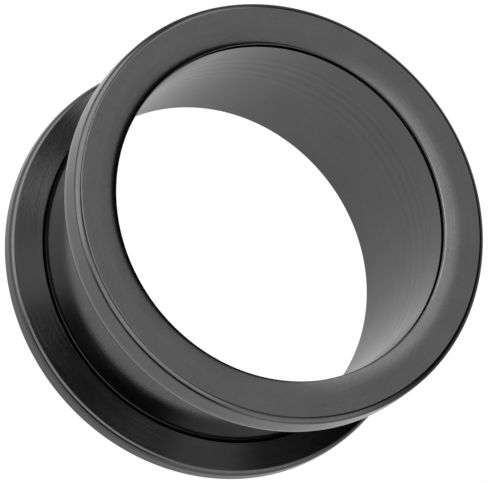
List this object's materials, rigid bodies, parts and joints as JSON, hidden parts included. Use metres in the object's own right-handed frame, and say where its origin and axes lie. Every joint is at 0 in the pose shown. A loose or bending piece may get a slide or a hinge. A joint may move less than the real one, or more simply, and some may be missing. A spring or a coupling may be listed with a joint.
{
  "type": "ear tunnel gauge",
  "caption": "Round flared ear tunnel of black coated steel, open through the middle, with a barrel between two flanges and a screw-on back that lifts off.",
  "frame": {"origin": "centre of the back flange's outer face, on the surface that the tunnel lies on", "axes": "+Z along the bore's axis, from the back flange up to the front flange"},
  "size_m": [0.0258, 0.0258, 0.0122],
  "materials": {
    "black_steel_front": "black coating over turned and polished steel",
    "black_steel_back": "black coating over turned and polished steel"
  },
  "bodies": {
    "back": {"screw_back": "black_steel_back"},
    "front": {"barrel_front": "black_steel_front"}
  },
  "joints": [
    {"name": "unscrew", "type": "slide", "parent": "back", "child": "front", "axis": [0, 0, 1], "range_m": [0, 0.01]}
  ]
}
